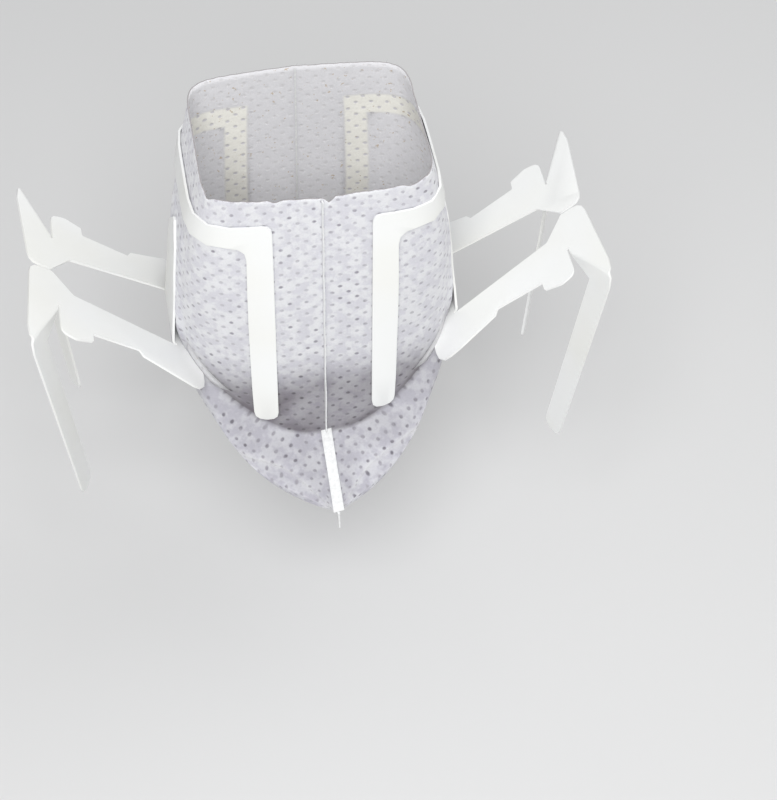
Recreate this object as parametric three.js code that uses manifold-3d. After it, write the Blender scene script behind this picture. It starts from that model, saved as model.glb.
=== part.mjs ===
// Drip coffee bag, torn open along its top and hung across a rim by two card ears.
// Millimetres, +Z up. The origin is the centre of the rim's top plane, +X points to the right ear
// and the viewer looks along +Y.
import * as THREE from "three";
import { mergeVertices } from "three/addons/utils/BufferGeometryUtils.js";
import Module from "manifold-3d";

// Filter bag
const fabricThickness = 0.4;
const mouthZ = 29;
const mouthFrontZ = 27.4;
const mouthRearZ = 31;
const mouthHalfX = 20.5;
const mouthHalfY = 16;
const mouthSquareness = 7;
const bellyZ = -9;
const bellyHalfX = 26.2;
const bellySquareness = 2.8;
const bellyFlare = 1.8;
const underBellyTaper = 0.008;
const sideCreaseZ = -14.3;
const frontCreaseZ = -32;
const frontCreaseHalfY = 18;
const creaseStart = 4;
const creaseEnd = 34;
const bottomSealTopZ = -38;
const bottomSealHeight = 4;
const bottomHalfLength = 34.5;
const insideHalfLength = 16;
const cornerPinch = 1.5;
const cornerArc = 15;
const cornerBulge = 4;
const cornerBulgeArc = 20;
const sideBulge = 3;
const sideSealWidth = 2;
const tearDepth = 0.9;

// Ground coffee
const coffeeTopZ = -17;
const coffeeMound = 2;
const coffeeMoundRadius = 14;
const heapSink = 10;
const coffeeClearance = 0.4;

// Card blank, shared by the mouth frames and the ears
const cardThickness = 0.45;
const glueGap = 0.35;
const blankTopZ = 22.5;

// Mouth frame: a bar round the side of the mouth with a leg down the front and the rear
const frameHalfWidth = 25.9;
const frameLegWidth = 4.5;
const frameBarHeight = 4.6;
const frameLegBottomZ = -27;
const frameOuterRadius = 1.6;
const frameInnerRadius = 3;
const frameToeRadius = 2;

// Ear: distances along the arm are taken from the rim notch, positive outwards
const notchX = 48;
const notchZ = 1.2;
const notchHalfWidth = 9;
const baseStripLength = 6.4;
const cardHalfWidth = 16.2;
const baseRadius = 3.6;
const cutWidth = 0.4;
const armRootInner = 7.6;
const armStepFromNotch = 17.4;
const armStepHeight = 1.2;
const armWaist = cardHalfWidth - 3.5;
const armNeck = cardHalfWidth - 3;
const lobeLength = 7.2;
const lobeRadius = 2.6;
const toothReach = cardHalfWidth - 1;
const headReach = 5.3;
const shoulderReach = 7.1;
const headInner = 0.3;
const headCornerRadius = 2.4;
const windowShoulder = 3.8;
const windowShoulderHalf = 4.8;
const legWidth = 4.6;
const legInner = cardHalfWidth + cutWidth;
const legOuter = legInner + legWidth;
const legTipFromNotch = 44;
const legSplay = 4;
const legTipRadius = 1.9;
const shoulderRadius = 4.4;
const legFoldAngle = 54;
const foldRadius = 0.8;
const tongueFoldRadius = 1.2;
const tongueSettle = 12;

// Finishes
const clothColour = 0xdcdce6;
const coffeeColour = 0x3a2418;
const cardColour = 0xf1f1ea;

const wasm = await Module();
wasm.setup();

const group = new THREE.Group();

const degrees = (angle) => (angle * Math.PI) / 180;
const clamp01 = (value) => Math.min(1, Math.max(0, value));
const smooth = (value) => clamp01(value) ** 2 * (3 - 2 * clamp01(value));
const mix = (a, b, t) => a + (b - a) * t;

// Half width and half depth of the bag at a height, and how square its section is there.
function sectionShape(z) {
  const down = (mouthZ - z) / (mouthZ - bellyZ);
  const spread = 1 - (1 - clamp01(down)) ** bellyFlare;
  const under = Math.max(0, bellyZ - z);
  return {
    halfX: mix(mouthHalfX, bellyHalfX, spread) - underBellyTaper * under ** 2,
    halfY: mix(mouthHalfY, frontCreaseHalfY, (mouthZ - z) / (mouthZ - frontCreaseZ)),
    power: 2 / mix(mouthSquareness, bellySquareness, clamp01(down) ** 0.6),
  };
}

// One quarter of the section, from the middle of the side to the seam, with its running length.
function quarterSection(z) {
  const { halfX, halfY, power } = sectionShape(z);
  const steps = 96;
  const points = [];
  let length = 0;
  for (let i = 0; i <= steps; i += 1) {
    const angle = (Math.PI / 2) * (i / steps);
    const x = halfX * Math.cos(angle) ** power;
    const y = halfY * Math.sin(angle) ** power;
    if (i > 0) {
      length += Math.hypot(x - points[i - 1].x, y - points[i - 1].y);
    }
    points.push({ x: i === steps ? 0 : x, y, length });
  }
  return { points, length };
}

const quarterCache = new Map();
function cachedQuarter(z) {
  const key = z.toFixed(4);
  if (!quarterCache.has(key)) {
    quarterCache.set(key, quarterSection(z));
  }
  return quarterCache.get(key);
}

// Point on the right-hand wall: arc is the length round the section from the middle of the side,
// positive to the rear, and lift is the distance outwards from the cloth.
function wallPoint(arc, z, lift) {
  const { points, length } = cachedQuarter(z);
  const wanted = Math.min(Math.abs(arc), length);
  let i = 1;
  while (i < points.length - 1 && points[i].length < wanted) {
    i += 1;
  }
  const a = points[i - 1];
  const b = points[i];
  const step = b.length - a.length || 1;
  const t = (wanted - a.length) / step;
  const sign = Math.sign(arc) || 1;
  const normal = new THREE.Vector2(b.y - a.y, a.x - b.x).normalize();
  return new THREE.Vector3(
    mix(a.x, b.x, t) + normal.x * lift,
    sign * (mix(a.y, b.y, t) + normal.y * lift),
    z,
  );
}

// How far a place round the wall is from the seams, 0 at a seam and 1 at the middle of the side,
// as the crease above the lower lobes climbs.
function creaseRise(fromSeam) {
  return smooth((fromSeam - creaseStart) / (creaseEnd - creaseStart));
}

// Height of the torn edge: it climbs from the front seam to the rear one with small waves, deeper
// at the front. Fraction is 0 at the front seam and 1 at the rear one.
function tornEdge(fraction) {
  const wave = 0.5 + 0.25 * (Math.sin(fraction * 47) + Math.sin(fraction * 113 + 1));
  return mix(mouthFrontZ, mouthRearZ, fraction) - tearDepth * mix(0.5, 0.2, fraction) * wave;
}

const columns = 24;
const upperRows = 8;
const lowerRows = 5;
const creaseHalfX = sectionShape(sideCreaseZ).halfX;
const sideSlope = Math.atan2(sideCreaseZ - bottomSealTopZ, creaseHalfX - fabricThickness);

// How far the wall below the crease swells out: a share t of the way down from the crease.
// Near the corners it swells most half way down, at the middle of the side lower down.
function lobeSwell(fromSeam, t, depth) {
  const outside = depth > 0 ? 0 : 1;
  const corner = outside * cornerBulge * smooth(fromSeam / cornerBulgeArc) * 4 * t * (1 - t);
  const side = sideBulge * 6.75 * t ** 2 * (1 - t);
  return mix(corner, side, creaseRise(fromSeam));
}

// Right-hand half of the bag as rows of points, from the mouth to the bottom seal. Depth is how
// far inside the outer skin the surface lies, and seamX is where it meets its mirror image. Outside,
// the wall runs on into the two flat corner lobes. Inside, the lobes are pressed shut.
function halfBag(depth, seamX) {
  const quarter = cachedQuarter(sideCreaseZ).length;
  const sealZ = bottomSealTopZ + depth / Math.cos(sideSlope);
  const sideShift = depth * Math.tan((Math.PI / 2 - sideSlope) / 2);
  const grid = [];
  for (let i = 0; i <= upperRows; i += 1) {
    const row = [];
    for (let j = 0; j <= columns; j += 1) {
      const around = 2 * (j / columns) - 1;
      const fromSeam = quarter * (1 - Math.abs(around));
      const low = mix(frontCreaseZ, sideCreaseZ, creaseRise(fromSeam)) + sideShift;
      const z = mix(tornEdge(j / columns), low, i / upperRows);
      const point = wallPoint(around * cachedQuarter(z).length, z, -depth);
      if (j === 0 || j === columns) {
        point.x = seamX;
      }
      row.push(point);
    }
    grid.push(row);
  }
  const creaseRow = grid[upperRows];
  const bottomRow = creaseRow.map((point, j) => {
    const arc = quarter * (2 * (j / columns) - 1);
    if (depth > 0) {
      return new THREE.Vector3(seamX, (arc / quarter) * (insideHalfLength - 2 * depth), sealZ);
    }
    const side = Math.min(1, Math.abs(arc) / cornerArc);
    const past = Math.max(0, Math.abs(arc) - cornerArc) / (quarter - cornerArc);
    const reach = bottomHalfLength - cornerPinch * (1 - past);
    return new THREE.Vector3(seamX, Math.sign(arc) * side * reach, sealZ);
  });
  for (let i = 1; i <= lowerRows; i += 1) {
    const t = i / lowerRows;
    const row = creaseRow.map((start, j) => {
      const along = bottomRow[j].clone().sub(start).normalize();
      const outwards = new THREE.Vector3(0, 1, 0).cross(along).normalize();
      const fromSeam = quarter * (1 - Math.abs(2 * (j / columns) - 1));
      const swell = lobeSwell(fromSeam, t, depth) * (outwards.x < 0 ? -1 : 1);
      return start.clone().lerp(bottomRow[j], t).addScaledVector(outwards, swell);
    });
    grid.push(row);
  }
  return grid;
}

// Collects triangles of points and gives them back as one closed geometry that faces outwards.
function closedGeometry(triangles) {
  const positions = [];
  for (const triangle of triangles) {
    for (const point of triangle) {
      positions.push(point.x, point.y, point.z);
    }
  }
  const loose = new THREE.BufferGeometry();
  loose.setAttribute("position", new THREE.Float32BufferAttribute(positions, 3));
  const merged = mergeVertices(loose, 1e-4);
  const index = merged.getIndex().array;
  const kept = [];
  for (let i = 0; i < index.length; i += 3) {
    const [a, b, c] = [index[i], index[i + 1], index[i + 2]];
    if (a !== b && b !== c && c !== a) {
      kept.push(a, b, c);
    }
  }
  const volume = signedVolume(merged.getAttribute("position"), kept);
  if (volume < 0) {
    kept.reverse();
  }
  merged.setIndex(kept);
  return merged;
}

function signedVolume(position, index) {
  const a = new THREE.Vector3();
  const b = new THREE.Vector3();
  const c = new THREE.Vector3();
  let volume = 0;
  for (let i = 0; i < index.length; i += 3) {
    a.fromBufferAttribute(position, index[i]);
    b.fromBufferAttribute(position, index[i + 1]);
    c.fromBufferAttribute(position, index[i + 2]);
    volume += a.dot(b.cross(c)) / 6;
  }
  return volume;
}

const mirrored = (point) => new THREE.Vector3(-point.x, point.y, point.z);

function addQuad(triangles, a, b, c, d) {
  triangles.push([a, b, c], [a, c, d]);
}

// The bag: an outer skin with its seal fins, an inner skin, and the torn edge between them.
function filterBag() {
  const triangles = [];
  const seal = fabricThickness;
  const outer = halfBag(0, seal);
  const inner = halfBag(fabricThickness, 0);
  const last = outer.length - 1;
  const bottomZ = bottomSealTopZ - bottomSealHeight;
  outer.push(outer[last].map((point) => new THREE.Vector3(seal, point.y, bottomZ)));
  const finTip = (row, j) => {
    const rootPoint = outer[row][j];
    const facing = j === 0 ? -1 : 1;
    if (row < upperRows || row >= last) {
      return new THREE.Vector3(seal, rootPoint.y + facing * sideSealWidth, rootPoint.z);
    }
    const turn = row === upperRows ? 0.5 : 1;
    const before = outer[upperRows][j];
    const after = outer[last][j];
    const slope = Math.atan2(before.z - after.z, Math.abs(after.y - before.y));
    const angle = turn * (Math.PI / 2 - slope) * (1 - (row - upperRows) / (last - upperRows));
    return new THREE.Vector3(
      seal,
      rootPoint.y + facing * sideSealWidth * Math.cos(angle),
      rootPoint.z + sideSealWidth * Math.sin(angle),
    );
  };
  for (const flip of [false, true]) {
    const place = flip ? mirrored : (point) => point;
    const push = (a, b, c, d) => {
      const corners = [a, b, c, d].map(place);
      addQuad(triangles, ...(flip ? corners.reverse() : corners));
    };
    for (let i = 0; i < outer.length - 1; i += 1) {
      for (let j = 0; j < columns; j += 1) {
        push(outer[i][j], outer[i + 1][j], outer[i + 1][j + 1], outer[i][j + 1]);
      }
      for (const j of [0, columns]) {
        const quad = [outer[i][j], finTip(i, j), finTip(i + 1, j), outer[i + 1][j]];
        push(...(j === 0 ? quad : quad.reverse()));
      }
    }
    for (let i = 0; i < inner.length - 1; i += 1) {
      for (let j = 0; j < columns; j += 1) {
        push(inner[i][j + 1], inner[i + 1][j + 1], inner[i + 1][j], inner[i][j]);
      }
    }
    for (let j = 0; j < columns; j += 1) {
      push(outer[0][j], outer[0][j + 1], inner[0][j + 1], inner[0][j]);
    }
  }
  for (const j of [0, columns]) {
    const cap = (a, b, c, d) => addQuad(triangles, ...(j === 0 ? [a, b, c, d] : [d, c, b, a]));
    for (let i = 0; i < outer.length - 1; i += 1) {
      cap(finTip(i, j), mirrored(finTip(i, j)), mirrored(finTip(i + 1, j)), finTip(i + 1, j));
    }
    cap(outer[0][j], mirrored(outer[0][j]), mirrored(finTip(0, j)), finTip(0, j));
    const rim = [inner[0][j], mirrored(outer[0][j]), outer[0][j]];
    triangles.push(j === 0 ? rim : rim.reverse());
    const end = outer.length - 1;
    cap(finTip(end, j), mirrored(finTip(end, j)), mirrored(outer[end][j]), outer[end][j]);
  }
  const bottom = outer[outer.length - 1];
  for (let j = 0; j < columns; j += 1) {
    addQuad(triangles, bottom[j], mirrored(bottom[j]), mirrored(bottom[j + 1]), bottom[j + 1]);
  }
  return closedGeometry(triangles);
}

// Two meshes as solids of the boolean library, and the result as a geometry again.
function toSolid(geometry) {
  const plain = new THREE.BufferGeometry();
  plain.setAttribute("position", geometry.getAttribute("position").clone());
  plain.setIndex(geometry.getIndex() ? [...geometry.getIndex().array] : null);
  const merged = mergeVertices(plain, 1e-4);
  return new wasm.Manifold(new wasm.Mesh({
    numProp: 3,
    vertProperties: new Float32Array(merged.getAttribute("position").array),
    triVerts: new Uint32Array(merged.getIndex().array),
  }));
}

function fromSolid(solid) {
  const mesh = solid.getMesh();
  const geometry = new THREE.BufferGeometry();
  geometry.setAttribute("position", new THREE.BufferAttribute(new Float32Array(mesh.vertProperties), 3));
  geometry.setIndex([...mesh.triVerts]);
  return geometry;
}

// The coffee fills the bottom of the bag up to a low mound.
function groundCoffee() {
  const wall = halfBag(fabricThickness + coffeeClearance, 0);
  const triangles = [];
  for (const flip of [false, true]) {
    const place = flip ? mirrored : (point) => point;
    for (let i = 0; i < wall.length - 1; i += 1) {
      for (let j = 0; j < columns; j += 1) {
        const corners = [wall[i][j], wall[i + 1][j], wall[i + 1][j + 1], wall[i][j + 1]].map(place);
        addQuad(triangles, ...(flip ? corners.reverse() : corners));
      }
    }
  }
  const centre = new THREE.Vector3(0, 0, mouthZ);
  for (let j = 0; j < columns; j += 1) {
    triangles.push([wall[0][j], wall[0][j + 1], centre]);
    triangles.push([mirrored(wall[0][j + 1]), mirrored(wall[0][j]), centre]);
  }
  const cavity = toSolid(closedGeometry(triangles));
  const heap = [];
  const heapRadius = 60;
  const heapSteps = 10;
  for (let i = 0; i <= heapSteps; i += 1) {
    const r = heapRadius * (i / heapSteps) ** 1.5;
    heap.push(new THREE.Vector2(r, coffeeTopZ + coffeeMound * Math.exp(-((r / coffeeMoundRadius) ** 2))));
  }
  const heapFloor = bottomSealTopZ - heapSink;
  const profile = [
    new THREE.Vector2(0, heapFloor),
    new THREE.Vector2(heapRadius, heapFloor),
    ...heap.reverse(),
  ];
  const mound = new THREE.LatheGeometry(profile, 40).rotateX(Math.PI / 2);
  return fromSolid(cavity.intersect(toSolid(closedGeometry(looseTriangles(mound)))));
}

function looseTriangles(geometry) {
  const flat = geometry.index ? geometry.toNonIndexed() : geometry;
  const position = flat.getAttribute("position");
  const triangles = [];
  for (let i = 0; i < position.count; i += 3) {
    triangles.push([0, 1, 2].map((k) => new THREE.Vector3().fromBufferAttribute(position, i + k)));
  }
  return triangles;
}

// Splits the triangles of a flat blank along the line a*x + b*y = c, so that it can bend there.
function score(triangles, a, b, c) {
  const result = [];
  for (const triangle of triangles) {
    const sides = triangle.map((p) => {
      const distance = a * p.x + b * p.y - c;
      return Math.abs(distance) < 1e-5 ? 0 : distance;
    });
    if (sides.every((side) => side >= 0) || sides.every((side) => side <= 0)) {
      result.push(triangle);
      continue;
    }
    for (const keep of [1, -1]) {
      const polygon = [];
      for (let i = 0; i < 3; i += 1) {
        const k = (i + 1) % 3;
        if (sides[i] * keep >= 0) {
          polygon.push(triangle[i]);
        }
        if (sides[i] * sides[k] < 0) {
          const [low, high] = sides[i] < 0 ? [i, k] : [k, i];
          const t = sides[low] / (sides[low] - sides[high]);
          polygon.push(triangle[low].clone().lerp(triangle[high], t));
        }
      }
      for (let i = 1; i < polygon.length - 1; i += 1) {
        result.push([polygon[0], polygon[i], polygon[i + 1]]);
      }
    }
  }
  return result;
}

// A flat blank of card from an outline, its thickness running from 0 to the card's own.
function blankTriangles(shape) {
  const blank = new THREE.ExtrudeGeometry(shape, {
    depth: cardThickness,
    bevelEnabled: false,
    curveSegments: 3,
  });
  return looseTriangles(blank);
}

// Corner of an outline rounded by a radius, between the points before and after it.
function roundedOutline(corners) {
  const shape = new THREE.Shape();
  corners.forEach((corner, i) => {
    const before = corners[(i + corners.length - 1) % corners.length];
    const after = corners[(i + 1) % corners.length];
    const here = new THREE.Vector2(corner[0], corner[1]);
    const toBefore = new THREE.Vector2(before[0], before[1]).sub(here);
    const toAfter = new THREE.Vector2(after[0], after[1]).sub(here);
    const bend = toBefore.angleTo(toAfter);
    const radius = corner[2] || 0;
    const reach = Math.min(radius / Math.tan(bend / 2), 0.48 * toBefore.length(), 0.48 * toAfter.length());
    const start = here.clone().addScaledVector(toBefore.normalize(), reach);
    const end = here.clone().addScaledVector(toAfter.normalize(), reach);
    if (i === 0) {
      shape.moveTo(start.x, start.y);
    } else {
      shape.lineTo(start.x, start.y);
    }
    if (reach > 0) {
      shape.quadraticCurveTo(here.x, here.y, end.x, end.y);
    }
  });
  shape.closePath();
  return shape;
}

// Mouth frame of the right side: x of the blank is the arc round the bag at the frame's top, y its
// height. Lower down the bag is wider, and the legs keep their distance from the seams.
function mouthFrame() {
  const outer = frameHalfWidth;
  const inner = frameHalfWidth - frameLegWidth;
  const barBottom = blankTopZ - frameBarHeight;
  const toe = frameLegBottomZ;
  const outline = roundedOutline([
    [-outer, toe, frameToeRadius],
    [-inner, toe, frameToeRadius],
    [-inner, barBottom, frameInnerRadius],
    [inner, barBottom, frameInnerRadius],
    [inner, toe, frameToeRadius],
    [outer, toe, frameToeRadius],
    [outer, blankTopZ, frameOuterRadius],
    [-outer, blankTopZ, frameOuterRadius],
  ]);
  let triangles = blankTriangles(outline);
  const barSteps = 14;
  for (let i = 1; i < barSteps; i += 1) {
    triangles = score(triangles, 1, 0, mix(-outer, outer, i / barSteps));
  }
  const legSteps = 6;
  for (let i = 1; i < legSteps; i += 1) {
    triangles = score(triangles, 0, 1, mix(toe, blankTopZ, i / legSteps));
  }
  const topLength = cachedQuarter(blankTopZ).length;
  const glued = (p) => {
    const wider = cachedQuarter(p.y).length - topLength;
    return wallPoint(p.x * (1 + wider / frameHalfWidth), p.y, glueGap + p.z);
  };
  return closedGeometry(triangles.map((triangle) => triangle.map(glued)));
}

// Outline of the ear's blank: x runs along the arm from the notch, y across it.
function earOutline(fold) {
  const half = [];
  const base = fold - baseStripLength;
  const stepU = -armStepFromNotch;
  const lobeU = -lobeLength;
  half.push([base, cardHalfWidth, baseRadius]);
  half.push([fold, cardHalfWidth, 2]);
  half.push([stepU - 0.8, armWaist + armStepHeight, 0.3]);
  half.push([stepU, armWaist, 0.3]);
  half.push([lobeU, armNeck, 0.4]);
  half.push([lobeU + 0.1, toothReach, 0.3]);
  half.push([-0.5 * lobeLength, cardHalfWidth, 2]);
  half.push([-cutWidth, cardHalfWidth - 0.6, lobeRadius]);
  half.push([-cutWidth, notchHalfWidth, 0]);
  half.push([0, notchHalfWidth, 0]);
  half.push([0, legInner, 0]);
  half.push([-legTipFromNotch, legInner + legSplay, legTipRadius]);
  half.push([-legTipFromNotch, legOuter + legSplay, legTipRadius]);
  half.push([shoulderReach, legOuter, shoulderRadius]);
  half.push([headReach, headInner, headCornerRadius]);
  half.push([0.6, headInner, 0.6]);
  half.push([-windowShoulder, windowShoulderHalf, 1]);
  half.push([fold, armRootInner, 0]);
  half.push([fold, armRootInner - cutWidth, 0]);
  half.push([-windowShoulder - cutWidth, windowShoulderHalf - 1.2 * cutWidth, 1]);
  half.push([-cutWidth, 0.6, 0.3]);
  const other = half.map(([u, v, radius]) => [u, -v, radius]).reverse();
  return roundedOutline([...half, ...other]);
}

// The ear of the right side, folded from its blank.
function ear() {
  const lift = glueGap + 0.5 * cardThickness;
  const foldX = creaseHalfX + lift + glueGap;
  const foldZ = sideCreaseZ - lift * Math.tan(sideSlope / 2);
  const armSlope = Math.atan2(notchZ - foldZ, notchX - foldX);
  const fold = -Math.hypot(notchX - foldX, notchZ - foldZ);

  let triangles = blankTriangles(earOutline(fold));
  triangles = score(triangles, 1, 0, fold);
  triangles = score(triangles, 1, 0, 0);
  for (const v of [-3, 0, 3]) {
    triangles = score(triangles, 0, 1, v);
  }

  const legFold = degrees(legFoldAngle);
  const halfZone = 0.5 * foldRadius * legFold;
  const foldLine = new THREE.Vector2(shoulderReach, legOuter - notchHalfWidth).normalize();
  const foldStep = 4;
  for (const side of [1, -1]) {
    const across = new THREE.Vector2(-foldLine.y, side * foldLine.x);
    const origin = across.y * side * notchHalfWidth;
    for (let i = 0; i <= foldStep; i += 1) {
      const offset = 2 * halfZone * (i / foldStep);
      triangles = scoreWhere(triangles, across.x, across.y, origin + offset, (p) => isHead(p, side));
    }
  }
  const tongueArc = tongueFoldRadius * (Math.PI / 2 - armSlope);
  for (let i = 1; i <= 3; i += 1) {
    triangles = scoreWhere(triangles, 1, 0, fold + tongueArc * (i / 3), isTongue);
  }
  const tongueSteps = 5;
  for (let i = 1; i < tongueSteps; i += 1) {
    triangles = scoreWhere(triangles, 1, 0, mix(fold + tongueArc, 0, i / tongueSteps), isTongue);
  }

  function isHead(p, side) {
    return p.y * side > 0 && (p.x > -1e-4 || p.y * side > legInner - 0.5 * cutWidth);
  }
  function isTongue(p) {
    if (p.x < fold) {
      return false;
    }
    const along = clamp01((p.x - fold) / (-windowShoulder - fold));
    const tip = clamp01((p.x + windowShoulder) / windowShoulder);
    const limit = mix(armRootInner, windowShoulderHalf, along) - 0.5 * cutWidth;
    return p.x < -0.5 * cutWidth && Math.abs(p.y) < mix(limit, headInner, tip);
  }

  const u = new THREE.Vector3(Math.cos(armSlope), 0, Math.sin(armSlope));
  const n = new THREE.Vector3(-Math.sin(armSlope), 0, Math.cos(armSlope));
  const notch = new THREE.Vector3(notchX, 0, notchZ);
  const onPlane = (x, y, w) => notch.clone().addScaledVector(u, x).addScaledVector(n, w)
    .add(new THREE.Vector3(0, y, 0));

  const bentDown = (p, w, side) => {
    const across = new THREE.Vector2(-foldLine.y, side * foldLine.x);
    const along = new THREE.Vector2(foldLine.x, side * foldLine.y);
    const from = new THREE.Vector2(p.x, p.y - side * notchHalfWidth);
    const distance = from.dot(across);
    if (distance <= 0) {
      return onPlane(p.x, p.y, w);
    }
    const turn = Math.min(distance / foldRadius, legFold);
    const past = Math.max(0, distance - foldRadius * legFold);
    const run = foldRadius * Math.sin(turn) + past * Math.cos(turn) + w * Math.sin(turn);
    const drop = foldRadius * (1 - Math.cos(turn)) + past * Math.sin(turn) - w * Math.cos(turn);
    const flat = along.clone().multiplyScalar(from.dot(along)).addScaledVector(across, run);
    return onPlane(flat.x, flat.y + side * notchHalfWidth, -drop);
  };

  const facetLength = Math.hypot(creaseHalfX, sideCreaseZ - bottomSealTopZ);
  const swell = lobeSwell(cachedQuarter(sideCreaseZ).length, baseStripLength / facetLength, 0);
  const bend = sideSlope + Math.atan(swell / baseStripLength);
  const basePoint = (p, w) => {
    const foldPoint = new THREE.Vector3(foldX, p.y, foldZ);
    const mitre = p.x > fold - 1e-4 ? armSlope : bend;
    foldPoint.x += (p.x - fold) * Math.cos(bend) - w * Math.sin(mitre);
    foldPoint.z += (p.x - fold) * Math.sin(bend) + w * Math.cos(mitre);
    return foldPoint;
  };

  const tonguePoint = (p, w) => {
    const s = p.x - fold;
    const r = tongueFoldRadius;
    const turn = Math.min(s / r, Math.PI / 2 - armSlope);
    const angle = armSlope + turn;
    const past = Math.max(0, s - tongueArc);
    const x = foldX + r * (Math.sin(angle) - Math.sin(armSlope));
    const z = foldZ + r * (Math.cos(armSlope) - Math.cos(angle)) + past;
    const straight = new THREE.Vector3(x - w * Math.sin(angle), p.y, z + w * Math.cos(angle));
    const glued = wallPoint(p.y, z + w * Math.cos(angle), lift - w);
    return straight.lerp(glued, smooth(past / tongueSettle));
  };

  const placed = triangles.map((triangle) => {
    const centre = triangle[0].clone().add(triangle[1]).add(triangle[2]).divideScalar(3);
    const side = Math.sign(centre.y) || 1;
    return triangle.map((p) => {
      const w = p.z - 0.5 * cardThickness;
      if (isTongue(centre)) {
        return tonguePoint(p, w);
      }
      if (isHead(centre, side)) {
        return bentDown(p, w, side);
      }
      return centre.x < fold ? basePoint(p, w) : onPlane(p.x, p.y, w);
    });
  });
  return closedGeometry(placed);
}

// Scores only the triangles that a test picks by their middle.
function scoreWhere(triangles, a, b, c, test) {
  const picked = [];
  const rest = [];
  for (const triangle of triangles) {
    const centre = triangle[0].clone().add(triangle[1]).add(triangle[2]).divideScalar(3);
    (test(centre) ? picked : rest).push(triangle);
  }
  return [...rest, ...score(picked, a, b, c)];
}

function mirrorX(geometry) {
  const position = geometry.getAttribute("position").clone();
  for (let i = 0; i < position.count; i += 1) {
    position.setX(i, -position.getX(i));
  }
  const result = new THREE.BufferGeometry();
  result.setAttribute("position", position);
  result.setIndex([...geometry.getIndex().array].reverse());
  return result;
}

function addPart(name, geometry, color, roughness) {
  const material = new THREE.MeshStandardMaterial({ color, roughness, metalness: 0 });
  const mesh = new THREE.Mesh(geometry, material);
  mesh.name = name;
  group.add(mesh);
}

addPart("filter_bag", filterBag(), clothColour, 0.9);
addPart("ground_coffee", groundCoffee(), coffeeColour, 0.95);
const frameGeometry = mouthFrame();
addPart("right_mouth_frame", frameGeometry, cardColour, 0.45);
addPart("left_mouth_frame", mirrorX(frameGeometry), cardColour, 0.45);
const earGeometry = ear();
addPart("right_ear", earGeometry, cardColour, 0.45);
addPart("left_ear", mirrorX(earGeometry), cardColour, 0.45);

export default group;
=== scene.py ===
import bmesh
import bpy
import math
from mathutils import Matrix, Vector, noise


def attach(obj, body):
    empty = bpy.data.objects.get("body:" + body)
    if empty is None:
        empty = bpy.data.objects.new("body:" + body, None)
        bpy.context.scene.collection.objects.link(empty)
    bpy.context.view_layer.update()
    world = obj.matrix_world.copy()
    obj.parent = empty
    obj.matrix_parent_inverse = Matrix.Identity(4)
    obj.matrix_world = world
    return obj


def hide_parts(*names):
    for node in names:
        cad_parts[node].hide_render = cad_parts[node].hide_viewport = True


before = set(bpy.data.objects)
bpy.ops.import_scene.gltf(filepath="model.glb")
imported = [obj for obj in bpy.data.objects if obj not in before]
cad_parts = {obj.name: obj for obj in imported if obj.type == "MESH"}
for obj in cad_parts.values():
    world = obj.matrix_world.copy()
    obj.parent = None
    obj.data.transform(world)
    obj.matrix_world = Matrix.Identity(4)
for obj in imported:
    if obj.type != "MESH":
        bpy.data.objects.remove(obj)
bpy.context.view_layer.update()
mm = 0.001

# camera, light and floor
shot = {
    "imageHeight": 800,
    "focalPixels": 2135.9,
    "place": (-0.0399, -0.2891, 0.2801),
    "pitch": 47.89, "roll": 1.285, "bagTurn": 10.9,  # degrees
}
studio = {
    "worldStrength": 0.46,
    "keyPlace": (-0.10, -0.47, 0.55), "keySize": 0.4, "keyWatts": 4.3,
    "fillPlace": (0.5, 0.1, 0.6), "fillSize": 0.7, "fillWatts": 1.6,
    "floorHeight": -0.088, "floorReach": 3.0,
    "floorColour": (0.66, 0.665, 0.67, 1), "floorColourPaler": (0.70, 0.70, 0.70, 1),
}


def addCamera():
    pitch, roll, turn = (math.radians(shot[k]) for k in ("pitch", "roll", "bagTurn"))
    forward = Vector((0, math.cos(pitch), -math.sin(pitch)))
    level = Vector((1, 0, 0))
    upright = level.cross(forward)
    right = math.cos(roll) * level + math.sin(roll) * upright
    up = -math.sin(roll) * level + math.cos(roll) * upright
    toBag = Matrix.Rotation(-turn, 3, "Z")
    right, up, back = toBag @ right, toBag @ up, toBag @ -forward
    data = bpy.data.cameras.new("camera")
    data.sensor_width = 36
    data.lens = shot["focalPixels"] * 36 / shot["imageHeight"]
    data.clip_start = 0.01
    camera = bpy.data.objects.new("camera", data)
    bpy.context.scene.collection.objects.link(camera)
    matrix = Matrix((right, up, back)).transposed().to_4x4()
    matrix.translation = Vector(shot["place"])
    camera.matrix_world = matrix
    bpy.context.scene.camera = camera


def addAreaLight(name, place, size, watts):
    data = bpy.data.lights.new(name, "AREA")
    data.size = size
    data.energy = watts
    light = bpy.data.objects.new(name, data)
    light.location = place
    light.rotation_euler = (-Vector(place)).to_track_quat("-Z", "Y").to_euler()
    bpy.context.scene.collection.objects.link(light)


addCamera()
bpy.context.scene.view_settings.view_transform = "Standard"
world = bpy.data.worlds.new("softStudio")
world.use_nodes = True
world.node_tree.nodes["Background"].inputs["Strength"].default_value = studio["worldStrength"]
world.node_tree.nodes["Background"].inputs["Color"].default_value = (1, 1, 1, 1)
bpy.context.scene.world = world
addAreaLight("keyLight", studio["keyPlace"], studio["keySize"], studio["keyWatts"])
addAreaLight("fillLight", studio["fillPlace"], studio["fillSize"], studio["fillWatts"])
print("camera and lights ready")


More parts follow.
